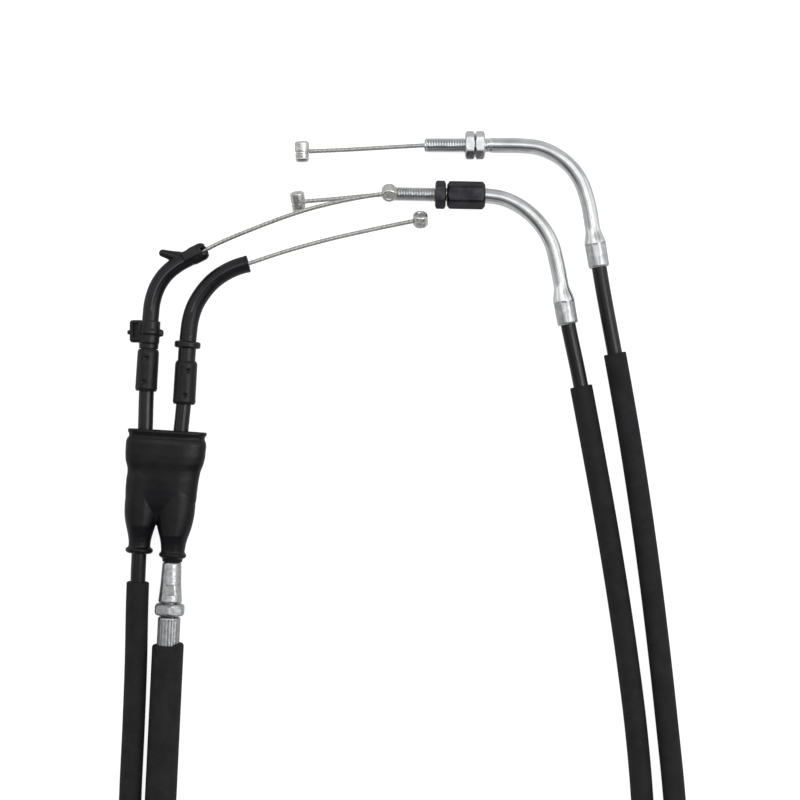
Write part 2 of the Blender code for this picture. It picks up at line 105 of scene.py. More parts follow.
# A smooth curve through given points in mm, measured by its own length.
class Route:
    def __init__(self, points):
        knots = np.array(points, float)
        gaps = np.linalg.norm(np.diff(knots, axis=0), axis=1)
        slopes = np.diff(knots, axis=0) / gaps[:, None]
        tangents = np.vstack([slopes[:1], slopes])
        near = gaps[1:, None]
        far = gaps[:-1, None]
        tangents[1:-1] = (slopes[:-1] * near + slopes[1:] * far) / (near + far)
        dense = []
        for i, gap in enumerate(gaps):
            u = np.linspace(0, 1, int(gap / 0.25) + 2)[:-1, None]
            start = (1 + 2 * u) * (1 - u) ** 2 * knots[i] + u * (1 - u) ** 2 * gap * tangents[i]
            end = u * u * (3 - 2 * u) * knots[i + 1] - u * u * (1 - u) * gap * tangents[i + 1]
            dense.append(start + end)
        self.dense = np.vstack(dense + [knots[-1:]])
        steps = np.linalg.norm(np.diff(self.dense, axis=0), axis=1)
        self.lengths = np.concatenate([[0], np.cumsum(steps)])
        self.length = self.lengths[-1]

    def inside(self, s):
        s = np.clip(s, 0, self.length)
        return np.stack([np.interp(s, self.lengths, axis) for axis in self.dense.T], -1)

    def along(self, s):
        low = np.clip(np.asarray(s, float) - 0.8, 0, self.length - 1.6)
        step = self.inside(low + 1.6) - self.inside(low)
        return step / np.linalg.norm(step, axis=-1, keepdims=True)

    # Points at lengths, which may run straight on past either end.
    def at(self, s):
        s = np.asarray(s, float)
        beyond = s - np.clip(s, 0, self.length)
        return self.inside(s) + beyond[..., None] * self.along(s)

    # Length at which the route first sinks below y.
    def down(self, y):
        return float(self.lengths[np.argmax(self.dense[:, 1] < y)])

    # Length at which the route last rises to y.
    def up(self, y):
        return float(self.lengths[np.where(self.dense[:, 1] < y)[0][-1]])


# A straight route from a point, for pieces turned on a lathe.
class Axis:
    def __init__(self, point, direction):
        self.point = np.array(point, float)
        self.direction = np.array(direction, float) / np.linalg.norm(direction)

    def at(self, s):
        return self.point + np.asarray(s, float)[..., None] * self.direction

    def along(self, s):
        return np.broadcast_to(self.direction, np.shape(s) + (3,))


# The straight axis that touches a route at a length.
def axisAt(route, s):
    return Axis(route.at(s), route.along(s))


returnRoute = Route(returnPoints)
pullRoute = Route(pullPoints)


# Mesh helpers.


# The level and the upright direction across a route.
def crossways(ahead):
    left = np.stack([-ahead[:, 1], ahead[:, 0], np.zeros(len(ahead))], -1)
    left /= np.linalg.norm(left, axis=1, keepdims=True)
    return left, np.cross(ahead, left)


# Faces between rings of points. The last ring joins the first, or both ends are capped.
def ringFaces(count, sides, joined):
    faces = []
    for i in range(count if joined else count - 1):
        a = i * sides
        b = (i + 1) % count * sides
        for k in range(sides):
            m = (k + 1) % sides
            faces.append((a + k, b + k, b + m, a + m))
    if not joined:
        faces += [tuple(range(sides)), tuple(range(count * sides - 1, (count - 1) * sides - 1, -1))]
    return faces


def linkMesh(name, mesh, material):
    piece = bpy.data.objects.new(name, mesh)
    bpy.context.scene.collection.objects.link(piece)
    if material:
        mesh.materials.append(material)
    return piece


# Face outwards, shade smooth, and keep the edges that are sharper than the angle.
def tidy(mesh, sharp=35):
    work = bmesh.new()
    work.from_mesh(mesh)
    bmesh.ops.recalc_face_normals(work, faces=work.faces)
    work.to_mesh(mesh)
    work.free()
    mesh.shade_smooth()
    mesh.set_sharp_from_angle(angle=math.radians(sharp))


# A profile of (length, radius) or (length, radius, own step) with rings a step apart.
def refine(profile, step):
    rings = [profile[0][:2]]
    for before, after in zip(profile, profile[1:]):
        span = max(abs(after[0] - before[0]), abs(after[1] - before[1]))
        own = after[2] if len(after) > 2 else step
        count = max(1, int(math.ceil(span / own - 1e-6)))
        for i in range(1, count + 1):
            t = i / count
            rings.append(tuple(before[j] + t * (after[j] - before[j]) for j in (0, 1)))
    return rings


# Profile points of a soft S between two radii.
def ease(s0, r0, s1, r1, count=8):
    return [(s0 + (s1 - s0) * i / count, r0 + (r1 - r0) * float(smooth(i / count))) for i in range(count + 1)]


# A skin along a route. Outer and inner are profiles that start together. Shapes change the outer radius,
# and slip moves points along the route, both by length and angle. Band is a stretch with its own finish:
# its material, start and end.
def sweep(name, route, outer, inner, material, step=1.0, sides=48, shapes=(), slip=None, sharp=35, band=None):
    profile = refine(outer, step)
    outside = len(profile)
    if inner:
        profile = profile + refine(inner, step)[::-1]
    s = np.array([p[0] for p in profile], float)
    theta = np.arange(sides) * 2 * math.pi / sides
    radius = np.repeat(np.array([p[1] for p in profile], float)[:, None], sides, 1)
    hollow = np.zeros_like(radius)
    for shape in shapes:
        before = radius[:outside].copy()
        radius[:outside] = shape(s[:outside, None], theta[None, :], before)
        # A shape with a depth records how far it sinks the skin, where the material paints shade.
        if hasattr(shape, "deep"):
            hollow[:outside] += (before - radius[:outside]) / shape.deep
    centre = route.at(s)
    ahead = route.along(s)
    left, over = crossways(ahead)
    spoke = np.cos(theta)[None, :, None] * left[:, None] + np.sin(theta)[None, :, None] * over[:, None]
    points = centre[:, None] + radius[..., None] * spoke
    if slip:
        points = points + slip(s[:, None], theta[None, :])[..., None] * ahead[:, None]
    count = len(profile)
    last = count if inner else count - 1
    wraps = []
    climb = np.diff([p[1] for p in profile])
    travelled = np.concatenate([[0], np.cumsum(np.hypot(np.diff(s), climb))])
    girth = 3  # radius in mm that the turn is measured at
    for i in range(last):
        v0 = travelled[i]
        v1 = travelled[i + 1] if i + 1 < count else v0
        for k in range(sides):
            u0 = k / sides * 2 * math.pi * girth
            u1 = (k + 1) / sides * 2 * math.pi * girth
            wraps += [v0, u0, v1, u0, v1, u1, v0, u1]
    if not inner:
        wraps += [0.0] * (2 * 2 * sides)  # both caps
    mesh = bpy.data.meshes.new(name)
    mesh.from_pydata(toWorld(points.reshape(-1, 3)).tolist(), [], ringFaces(count, sides, bool(inner)))
    layer = mesh.uv_layers.new(name="alongAndRound")
    layer.data.foreach_set("uv", np.array(wraps, float) * 0.1)  # in centimetres
    # Stored per point for the painted shade in the roots.
    marks = mesh.attributes.new("hollow", "FLOAT", "POINT")
    marks.data.foreach_set("value", np.clip(hollow, 0, 1).ravel())
    piece = linkMesh(name, mesh, material)
    if band:
        mesh.materials.append(band[0])
        for i in range(last * sides):
            if band[1] <= s[i // sides] <= band[2]:
                mesh.polygons[i].material_index = 1
    tidy(mesh, sharp)
    return piece


# A box in mm with rounded edges, turned about Z.
def block(name, centre, size, heading, rounding, material=None):
    work = bmesh.new()
    bmesh.ops.create_cube(work, size=1.0)
    bmesh.ops.scale(work, vec=Vector(size) * mm, verts=work.verts)
    if rounding:
        bmesh.ops.bevel(work, geom=work.edges[:], offset=rounding * mm, segments=4, profile=0.5,
                        affect="EDGES")
    work.transform(Matrix.Translation(Vector(toWorld(centre))) @ Matrix.Rotation(heading, 4, "Z"))
    mesh = bpy.data.meshes.new(name)
    work.to_mesh(mesh)
    work.free()
    tidy(mesh)
    return linkMesh(name, mesh, material)


# Apply the modifiers and drop them.
def settle(piece, sharp=35):
    graph = bpy.context.evaluated_depsgraph_get()
    done = bpy.data.meshes.new_from_object(piece.evaluated_get(graph))
    piece.modifiers.clear()
    old = piece.data
    piece.data = done
    done.name = piece.name
    bpy.data.meshes.remove(old)
    tidy(done, sharp)
    return piece


# One moulded body from overlapping closed parts, with its joins and edges softened.
def merge(name, parts, voxel, material, rounds=4):
    work = bmesh.new()
    for part in parts:
        work.from_mesh(part.data)
        bpy.data.objects.remove(part, do_unlink=True)
    mesh = bpy.data.meshes.new(name)
    work.to_mesh(mesh)
    work.free()
    piece = linkMesh(name, mesh, material)
    remesh = piece.modifiers.new("remesh", "REMESH")
    remesh.mode = "VOXEL"
    remesh.voxel_size = voxel * mm
    soften = piece.modifiers.new("soften", "SMOOTH")
    soften.factor = 0.5
    soften.iterations = rounds
    return settle(piece, 60)


# Cut away each cutter and discard it.
def carve(piece, cutters, sharp=40):
    for cutter in cutters:
        step = piece.modifiers.new("cut", "BOOLEAN")
        step.operation = "DIFFERENCE"
        step.solver = "EXACT"
        step.object = cutter
    settle(piece, sharp)
    for cutter in cutters:
        bpy.data.objects.remove(cutter, do_unlink=True)
    return piece


# Shapes for the outer radius.


# Six flats between two faces, each face turned down by a chamfer cone.
def hexagon(acrossFlats, start, end, cornerUp=False, cone=0.965, slope=1.75, wornAndHighlit=0.985):
    half = acrossFlats / 2
    turn = 0.0 if cornerUp else math.pi / 6

    def shape(s, theta, radius):
        away = (theta - math.pi / 2 + turn) % (math.pi / 3) - math.pi / 6
        flats = half / np.cos(away)
        corner = half / math.cos(math.pi / 6) * wornAndHighlit
        near = np.clip(np.minimum(s - start, end - s), 0, None)
        chamfer = half * cone + slope * near
        return np.where((s >= start - 0.01) & (s <= end + 0.01),
                        np.minimum(np.minimum(flats, corner), np.minimum(chamfer, radius)), radius)

    return shape


# A helical ridge with flattened crests that runs out at both ends.
def thread(start, end, pitch, depth):
    def shape(s, theta, radius):
        turn = (s / pitch - theta / (2 * math.pi)) % 1
        ridge = np.clip(np.abs(turn * 2 - 1) * 1.7 - 0.15, 0, 1)
        fade = np.clip(np.minimum(s - start, end - s) / pitch + 0.3, 0, 1)
        cut = radius - depth * (1 - ridge) * fade
        return np.where((s > start) & (s < end), cut, radius)

    # Marks its roots for painted shade.
    shape.deep = depth
    return shape


# A round punch mark.
def dent(at, angle, across, depth):
    def shape(s, theta, radius):
        turn = (theta - angle + math.pi) % (2 * math.pi) - math.pi
        near = np.sqrt((s - at) ** 2 + (radius * turn) ** 2) / (across / 2)
        return radius - depth * (1 - smooth((near - 0.35) / 0.75))

    # Marks the dent for painted shade.
    shape.deep = depth
    return shape


# Faint flats left by a crimping die, fading in from each end.
def crimp(acrossFlats, start, end, blend=1.2):
    count = 8
    turn = math.radians(20)

    def shape(s, theta, radius):
        away = (theta - turn) % (2 * math.pi / count) - math.pi / count
        flats = np.minimum(acrossFlats / 2 / np.cos(away), radius)
        part = smooth(np.minimum(s - start, end - s) / blend)
        return radius + (flats - radius) * part

    return shape


# Materials.


def toLinear(code):
    values = [int(code[i:i + 2], 16) / 255 for i in (1, 3, 5)]
    return [((v + 0.055) / 1.055) ** 2.4 if v > 0.04 else v / 12.92 for v in values] + [1.0]


# Add a node with its settings and links. A link names a socket, or a node for its first output.
def addNode(tree, kind, settings=None, links=None):
    node = tree.nodes.new("ShaderNode" + kind)
    for key, value in (settings or {}).items():
        if isinstance(key, int) or key in node.inputs:
            node.inputs[key].default_value = value
        else:
            setattr(node, key, value)
    for key, source in (links or {}).items():
        tree.links.new(source.outputs[0] if hasattr(source, "outputs") else source, node.inputs[key])
    return node


# Two close tones in patches, an uneven polish, and a coarse and a fine relief, all in mm.
def surface(name, look):
    made = bpy.data.materials.new(name)
    made.use_nodes = True
    tree = made.node_tree
    shader = tree.nodes["Principled BSDF"]
    shader.inputs["Metallic"].default_value = 0.0 if "IOR" in look else 1.0  # metals give no IOR
    for socket in ("IOR", "Specular IOR Level", "Coat Weight", "Coat Roughness"):
        if socket in look:
            shader.inputs[socket].default_value = look[socket]
    place = addNode(tree, "TexCoord").outputs["UV" if look.get("wrapped") else "Object"]
    # Wrapped pieces carry their length and turn in centimetres, and the others stand in metres.
    unit = 10.0 if look.get("wrapped") else 1000.0
    stretched = addNode(tree, "Mapping", {"Scale": look.get("stretch", (1, 1, 1))}, {"Vector": place})
    plain = addNode(tree, "TexCoord").outputs["Object"]
    patches = addNode(tree, "TexNoise", {"Scale": 1000 / look["patch"], "Detail": 4.0}, {"Vector": plain})
    share = addNode(tree, "MapRange", {"From Min": 0.35, "From Max": 0.65}, {"Value": patches})
    tone = addNode(tree, "Mix", {"data_type": "RGBA", 6: toLinear(look["dark"]), 7: toLinear(look["light"])},
                   {0: share})
    colour = tone.outputs[2]
    coats = []
    if "speck" in look:
        specks = addNode(tree, "TexNoise", {"Scale": 1000 / look["speckSize"], "Detail": 2.0},
                         {"Vector": plain})
        few = addNode(tree, "MapRange", {"From Min": 0.58, "From Max": 0.72, "To Max": look["speckShare"]},
                      {"Value": specks})
        coats.append((few, look["speck"]))
    # Painted shade, with some dust, in the roots of threads, dents and grooves: darker by how far the shape
    # sank the skin.
    hollow = addNode(tree, "Attribute", {"attribute_name": "hollow"}).outputs["Fac"]
    part = addNode(tree, "Math", {"operation": "MULTIPLY", 1: look.get("rootShare", 0.8)}, {0: hollow})
    coats.append((part, look.get("root", "#060607")))
    # A painted highlight along the crest of a parting line.
    if "crest" in look:
        crest = addNode(tree, "Attribute", {"attribute_name": "crest"}).outputs["Fac"]
        coats.append((crest, look["crest"]))
    for share, code in coats:
        mix = addNode(tree, "Mix", {"data_type": "RGBA", 7: toLinear(code)}, {0: share, 6: colour})
        colour = mix.outputs[2]
    tree.links.new(colour, shader.inputs["Base Color"])
    polish = addNode(tree, "TexNoise", {"Scale": unit / look["polish"], "Detail": 5.0},
                     {"Vector": stretched})
    low, high = look["rough"]
    rough = addNode(tree, "MapRange", {"From Min": 0.3, "From Max": 0.7, "To Min": low, "To Max": high},
                    {"Value": polish})
    tree.links.new(rough.outputs["Result"], shader.inputs["Roughness"])
    normal = None
    for size, depth in look["relief"]:
        grain = addNode(tree, "TexNoise", {"Scale": unit / size, "Detail": 2.0}, {"Vector": stretched})
        bump = addNode(tree, "Bump", {"Strength": 1.0, "Distance": depth * mm}, {"Height": grain})
        if normal:
            tree.links.new(normal, bump.inputs["Normal"])
        normal = bump.outputs["Normal"]
    tree.links.new(normal, shader.inputs["Normal"])
    return made


# Bright zinc-plated steel, drawn and bent: mirror-like but milky, with a cool tone and faint draw lines.
# Its thread roots get painted shade, with some dust.
platedPipe = surface("zincPlatedDrawnSteel", {
    "dark": "#d2d3d5", "light": "#e6e7e8", "patch": 7.0, "rough": (0.15, 0.27),
    "polish": 0.5, "wrapped": True, "stretch": (0.06, 1, 1), "relief": [(0.9, 0.016), (0.3, 0.006)],
    "root": "#77787a", "rootShare": 0.22})
# Zinc-plated swages: the die left them matt, pale grey and finely scored lengthwise.
platedSwage = surface("zincPlatedSwagedSteel", {
    "dark": "#b4b5b7", "light": "#cdcecf", "patch": 2.0, "rough": (0.3, 0.42),
    "polish": 0.4, "wrapped": True, "stretch": (0.03, 1, 1), "relief": [(1.1, 0.12), (0.45, 0.06)]})
# Zinc-plated turned steel: brighter faces with fine turning lines, and painted shade, with some dust, greying
# the roots.
platedNut = surface("zincPlatedTurnedSteel", {
    "dark": "#c0c1c3", "light": "#dadbdc", "patch": 3.0, "rough": (0.2, 0.34),
    "polish": 0.4, "relief": [(1.2, 0.008), (0.3, 0.004)], "root": "#77787a", "rootShare": 0.22})
# Tumbled zinc plating on the in-line adjuster: duller and grainy, each grain catching the light by itself.
# The roots of its thread and ribs get painted shade, with some dust.
tumbledZinc = surface("tumbledZincPlatedSteel", {
    "dark": "#a3a4a5", "light": "#c6c7c8", "patch": 1.5, "rough": (0.28, 0.42),
    "polish": 0.5, "speck": "#8f9091", "speckSize": 0.4, "speckShare": 0.45,
    "relief": [(0.8, 0.04), (0.35, 0.025)], "root": "#6c6d6e", "rootShare": 0.6})
# Die-cast zinc of the wire ends: warm grey, matt and sparkling, pitted where it was cast.
castZinc = surface("dieCastZinc", {
    "dark": "#c4c4c3", "light": "#e6e6e5", "patch": 1.2, "rough": (0.22, 0.36),
    "polish": 0.5, "speck": "#7f7f7e", "speckSize": 0.4, "speckShare": 0.5,
    "relief": [(0.9, 0.05), (0.35, 0.02)]})
# Black-oxide steel, machined: near-black with a soft grey sheen and fine lines along the bar.
blackSteel = surface("blackOxideTurnedSteel", {
    "dark": "#303034", "light": "#424246", "patch": 4.0, "rough": (0.32, 0.5),
    "polish": 0.35, "wrapped": True, "stretch": (0.1, 1, 1), "relief": [(0.4, 0.006), (1.5, 0.006)]})
# Painted crimped ferrules: satin black with a faintly dusty skin.
# Its punch marks get the default painted shade of the roots.
blackCrimp = surface("paintedCrimpedSteel", {
    "dark": "#0f0f12", "light": "#18181b", "patch": 3.0, "rough": (0.34, 0.48), "polish": 0.8, "IOR": 1.5,
    "Specular IOR Level": 0.25, "Coat Weight": 0.1, "Coat Roughness": 0.3,
    "relief": [(0.6, 0.012), (2.0, 0.02)]})
# Injection-moulded nylon: deep black, satin, with a very fine spark-eroded grain.
# Its parting-line crests get a paler painted highlight.
nylon = surface("mouldedBlackNylon", {
    "dark": "#0e0e11", "light": "#16161a", "patch": 6.0, "rough": (0.27, 0.4), "polish": 1.2, "IOR": 1.53,
    "Specular IOR Level": 0.3, "crest": "#505054", "relief": [(0.35, 0.012), (3.0, 0.03)]})
# Moulded rubber of the dust boot: soft charcoal with a satin bloom and shallow flow marks.
bootRubber = surface("mouldedBootRubber", {
    "dark": "#0e0e11", "light": "#161619", "patch": 5.0, "rough": (0.28, 0.42), "polish": 1.5,
    "IOR": 1.52, "Specular IOR Level": 0.22, "relief": [(0.5, 0.015), (4.0, 0.06)]})
# Extruded rubber hose over the conduits: chalky dark grey with hardly any shine.
sleeveRubber = surface("extrudedMattRubber", {
    "dark": "#1f1f21", "light": "#272729", "patch": 6.0, "Specular IOR Level": 0.2, "rough": (0.66, 0.82),
    "polish": 0.8, "IOR": 1.5, "speck": "#2e2e2f", "speckSize": 0.5, "speckShare": 0.4,
    "relief": [(0.45, 0.03), (3.0, 0.03)]})
# Extruded vinyl jacket: smooth black with long soft highlights and the winding faintly telling through.
jacketVinyl = surface("extrudedBlackVinyl", {
    "dark": "#0c0c0f", "light": "#131317", "patch": 9.0, "Specular IOR Level": 0.35, "rough": (0.2, 0.3),
    "polish": 1.0, "IOR": 1.53, "wrapped": True, "stretch": (0.3, 1, 1),
    "relief": [(1.4, 0.015), (0.5, 0.004)]})
# Galvanised steel strand: light grey with each wire catching a small highlight.
# The grooves between its wires get painted shade.
strand = surface("galvanisedStrandedWire", {
    "dark": "#b2b2b0", "light": "#d2d2d0", "patch": 1.0, "rough": (0.34, 0.48),
    "polish": 0.3, "root": "#3c3c3b", "rootShare": 0.85, "relief": [(0.25, 0.01)]})
# Flat spring-steel winding inside the jacket: grey-blue, oiled.
winding = surface("oiledSpringSteelWinding", {
    "dark": "#6d7075", "light": "#8d9095", "patch": 2.0, "rough": (0.3, 0.4),
    "polish": 0.5, "relief": [(0.6, 0.02)]})
# Extruded liner: milky white and waxy.
liner = surface("extrudedLinerPlastic", {
    "dark": "#d9d6cc", "light": "#ebe9e1", "patch": 4.0, "rough": (0.35, 0.45), "polish": 1.0, "IOR": 1.5,
    "relief": [(0.8, 0.01)]})

print("materials made")


# Cables: jackets, sleeves, windings, liners and the wires inside them.

# Sizes in mm: step is the gap between rings, sides the points round, and broken the bevel of a cut end.
layers = {
    "Jacket": {"bore": 2.55, "radius": 3.0, "step": 2.0, "sides": 40, "broken": 0.25, "skin": jacketVinyl},
    "Winding": {"bore": 1.7, "radius": 2.25, "step": 4.0, "sides": 20, "broken": 0.05, "skin": winding},
    "Liner": {"bore": 1.05, "radius": 1.4, "step": 4.0, "sides": 16, "broken": 0.05, "skin": liner},
    "Sleeve": {"bore": 3.3, "radius": 4.5, "step": 2.0, "sides": 48, "broken": 0.35, "skin": sleeveRubber},
    "InnerWire": {"bore": None, "radius": 0.75, "step": 4.0, "sides": 12, "broken": 0.05, "skin": strand},
}
# How far each cable part starts from the piece that holds it, in mm along the route.
gap = {"elbow": 0.3, "swage": 0.2, "boltSeat": 8.0, "capSeat": 42, "pullSleeve": 64, "wire": 1.0}
elbowEnd = {"return": returnRoute.down(15.5), "pull": pullRoute.down(11.0)}
adjusterTop = pullRoute.down(-64.8)
# Lengths along the route where a swage has narrowed to the pipe, where its socket ends, and its mouth.
returnSwage = (returnRoute.up(69.0), returnRoute.up(63.5), returnRoute.up(53.2))
pullSwage = (pullRoute.up(46.6), pullRoute.up(40.5), pullRoute.up(30.4))
conduits = {
    "return": ("return", returnRoute, elbowEnd["return"] + gap["elbow"], returnSwage[1] + gap["swage"]),
    "pullUpper": ("pull_upper", pullRoute, elbowEnd["pull"] + gap["elbow"], adjusterTop + gap["boltSeat"]),
    "pullLower": ("pull_lower", pullRoute, adjusterTop + gap["capSeat"], pullSwage[1] + gap["swage"]),
}


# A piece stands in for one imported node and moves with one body.
def assign(piece, node, body):
    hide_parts(node)
    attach(piece, body)


# A flexible tube along a route, its cut ends slightly broken.
def hose(name, node, route, start, end, layer):
    radius = layer["radius"]
    broken = layer["broken"]
    outer = [(start, radius - broken), (start + broken, radius), (end - broken, radius, layer["step"]),
             (end, radius - broken)]
    inner = [(start, layer["bore"]), (end, layer["bore"])] if layer["bore"] else None
    tube = sweep(name, route, outer, inner, layer["skin"], layer["step"], layer["sides"])
    assign(tube, node, "root")
    line = toWorld(route.at(np.append(np.arange(start, end, 3.0), end)))


for label, (prefix, route, start, end) in conduits.items():
    for kind in ("Jacket", "Winding", "Liner"):
        hose(label + kind, prefix + "_" + kind.lower(), route, start, end, layers[kind])
hose("returnSleeve", "return_sleeve", returnRoute, returnRoute.down(-72.4), returnRoute.up(18.8),
     layers["Sleeve"])
hose("pullSleeve", "pull_sleeve", pullRoute, adjusterTop + gap["pullSleeve"], pullRoute.up(5.7),
     layers["Sleeve"])
for label, route in (("return", returnRoute), ("pull", pullRoute)):
    hose(label + "InnerWire", label + "_inner_wire", route, gap["wire"], route.length - gap["wire"],
         layers["InnerWire"])
print("cables made")


# Bare wires and the barrels on their ends.


# Outer strands twisted round a core.
def strands(lay):
    def shape(s, theta, radius):
        turn = (theta + 2 * math.pi * s / lay) % (math.pi / 2.5) - math.pi / 5
        crown = np.sqrt(np.clip(1 - 0.95 * (turn / (math.pi / 5)) ** 2, 0, 1))
        return radius * (0.7 + 0.43 * crown)

    # Marks the grooves between the strands for painted shade.
    shape.deep = 0.16
    return shape


# Hidden is how far a bare wire starts inside the cable, and bite how far it enters its barrel, in mm.
bareWire = {"radius": 0.75, "lay": 9.0, "hidden": 0.9, "bite": 0.25}
# Barrels have a radius and a length in mm, and lean from +Y and tilt from the floor in degrees.
wireEnds = {
    "returnGrip": {"node": "return_grip", "route": returnRoute, "mouth": 0.0, "size": (2.95, 5.4),
                   "centre": (-4.3, 82.2, 12.6), "lean": 2, "tilt": -50,
                   "knots": [(-71.5, 62.9, 7.3), (-59, 68.0, 8.2), (-35.8, 76.0, 10.2), (-21.8, 79.3, 11.3)]},
    "returnThrottle": {"node": "return_throttle", "route": returnRoute, "mouth": returnRoute.length,
                       "size": (2.85, 8.2), "centre": (-39.2, 99.4, 4.2), "lean": 1, "tilt": 3,
                       "knots": [(-2.0, 101.2, 4.95), (-20, 100.2, 4.6)]},
    "pullGrip": {"node": "pull_grip", "route": pullRoute, "mouth": 0.0, "size": (2.95, 5.4),
                 "centre": (8.2, 72.2, 4.1), "lean": 3, "tilt": 38,
                 "knots": [(-43.6, 60.0, 6.2), (-29.2, 64.0, 5.4), (-12.2, 68.0, 4.3)]},
    "pullThrottle": {"node": "pull_throttle", "route": pullRoute, "mouth": pullRoute.length,
                     "size": (2.85, 8.2), "centre": (-40.8, 79.3, 3.9), "lean": 6, "tilt": 16,
                     "knots": [(-13.0, 81.7, 4.7), (-26, 80.5, 4.3)]},
}
for label, end in wireEnds.items():
    end["body"] = end["node"].replace("_", "_wire_") + "_end"
    radius, length = end["size"]
    half = length / 2
    lean = math.radians(90 + end["lean"])
    rise = math.radians(end["tilt"])
    flat = math.cos(rise)
    axis = Axis(end["centre"], (flat * math.cos(lean), flat * math.sin(lean), math.sin(rise)))
    # The long barrels have a waist where the wire enters, and the short ones only a parting line.
    if length > 7:
        profile = [(-half, 0.0), (-half, radius - 0.9), (-half + 0.3, radius - 0.45),
                   (-half + 1.1, radius - 0.15), (-half + 1.3, radius - 0.28), (-0.9, radius - 0.15),
                   (-0.7, radius - 0.42), (-0.15, radius - 0.42), (0.05, radius - 0.06), (0.5, radius),
                   (half - 0.6, radius), (half - 0.2, radius - 0.4), (half, radius - 0.8), (half, 0.0)]
    else:
        rim = [(half - 0.4, 0.0), (half - 0.4, 1.4), (half - 0.1, 1.6), (half, radius - 0.8),
               (half - 0.25, radius - 0.3), (half - 0.7, radius), (0.2, radius), (0.1, radius - 0.1)]
        profile = [(-place, own) for place, own in rim] + rim[::-1]
    nipple = sweep(label + "Nipple", axis, profile, None, castZinc, 0.25, 56, sharp=50)
    assign(nipple, end["node"] + "_nipple", end["body"])

    start = end["route"].at(end["mouth"])
    side = 1 if end["mouth"] == 0 else -1
    inward = end["route"].along(end["mouth"]) * (side * bareWire["hidden"])
    bend = Route([tuple(start + inward)] + end["knots"] + [end["centre"]])
    last = bend.length - radius + bareWire["bite"]
    wire = sweep(label + "Wire", bend, [(0, bareWire["radius"]), (last, bareWire["radius"])], None, strand,
                 0.4, 48, shapes=[strands(bareWire["lay"])], sharp=80)
    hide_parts(end["node"] + "_wire")
    line = toWorld(bend.at(np.append(np.arange(0, last, 1.0), last)))
    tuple(line[0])
    end["wire"] = wire
    end["line"] = line
for end in wireEnds.values():
    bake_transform(end["wire"])
print("wire ends made")


# Throttle ends: bent pipes, nuts, stud and adjuster. Axes start at the tips and point out of the pipes.

# Radii and lengths in mm. Only the return pipe has a thread, with a neck behind it. The pull pipe stops
# short of its route's end, where the adjuster takes over.
pipe = {"radius": 3.0, "bore": 1.25, "swage": 4.35, "socket": 3.45, "dieFlats": 8.2, "neck": 2.75,
        "threadLength": 24.6, "thread": 2.9, "pitch": 1.05, "depth": 0.5, "pullShort": 32.2}
stud = {"outer": [(-31, 2.3), (-30.5, 2.8), (-0.5, 2.8, 0.125), (0, 2.35, 0.2)],
        "inner": [(-31, 1.25), (0, 1.25)], "thread": (-31, -0.3, 1.05, 0.48)}
# Sink is the length and width of the countersink at both ends of a bore.
brightNut = {"skin": platedNut, "thick": 3.8, "flats": 10.0, "face": 4.3, "corner": 6.5, "bore": 3.05,
             "sink": (0.4, 0.35), "chamfer": {"cone": 0.93}}
# Where along its axis each nut's far face lies, in mm.
nutPlaces = {"outer": -16.3, "inner": -20.3, "black": -17.3, "inLine": 21.1}
blackNut = {"skin": blackSteel, "thick": 4.2, "flats": 10.0, "face": 4.2, "corner": 6.5, "bore": 3.0,
            "sink": (0.3, 0.3), "chamfer": {"cone": 0.93}}
adjuster = {"outer": [(-37.3, 3.9), (-37.2, 4.5), (-36.8, 6.5), (-22.5, 6.5), (-22.1, 4.5), (-22.0, 3.9)],
            "inner": [(-37.3, 3.35), (-22.0, 3.35)], "hexagon": (10.0, -37.3, -22.0),
            "chamfer": {"cone": 0.86, "slope": 1.2, "wornAndHighlit": 0.965}}


# A bent pipe whose end is swaged over the conduit. Tail is the outline of its other end.
def throttlePipe(name, node, route, swage, tail, shapes):
    flare, socket, mouth = swage
    outer = [(mouth, 3.7), (mouth + 0.3, 4.0), (mouth + 0.8, 4.15)]
    outer += ease(socket - 1.5, pipe["swage"], flare, pipe["radius"]) + tail
    inner = [(mouth, pipe["socket"]), (socket + 0.5, pipe["socket"]), (socket + 0.5, pipe["bore"]),
             (tail[-1][0], pipe["bore"])]
    dieMarks = crimp(pipe["dieFlats"], mouth + 0.5, socket - 0.9, 0.5)
    piece = sweep(name, route, outer, inner, platedPipe, 0.4, 96, [dieMarks] + shapes,
                  band=(platedSwage, mouth - 1, socket - 0.9))
    assign(piece, node, "root")


def hexNut(name, node, body, axis, end, size):
    start = end - size["thick"]
    bore = size["bore"]
    outer = [(start, size["face"]), (start, size["corner"]), (end, size["corner"]), (end, size["face"])]
    inner = [(start, bore), (end, bore)]
    if "sink" in size:
        deep, wide = size["sink"]
        inner = [(start, bore + wide), (start + deep, bore), (end - deep, bore), (end, bore + wide)]
    shape = hexagon(size["flats"], start, end, **size["chamfer"])
    assign(sweep(name, axis, outer, inner, size["skin"], 0.16, 96, [shape], sharp=28), node, body)


tip = returnRoute.length
threadEnd = tip - pipe["threadLength"]
throttlePipe("returnPipe", "return_throttle_pipe", returnRoute, returnSwage,
             [(threadEnd - 2.2, pipe["radius"], 0.6), (threadEnd - 1.5, pipe["neck"], 0.2),
              (threadEnd - 0.1, pipe["neck"]), (threadEnd + 0.1, pipe["thread"]),
              (tip - 0.7, pipe["thread"], 0.115), (tip, 2.35, 0.2)],
             [thread(threadEnd - 0.2, tip - 0.1, pipe["pitch"], pipe["depth"])])
out = axisAt(returnRoute, tip)
for label in ("outer", "inner"):
    hexNut(label + "Nut", "return_" + label + "_nut", label + "_nut", out, nutPlaces[label], brightNut)
print("return throttle end made")

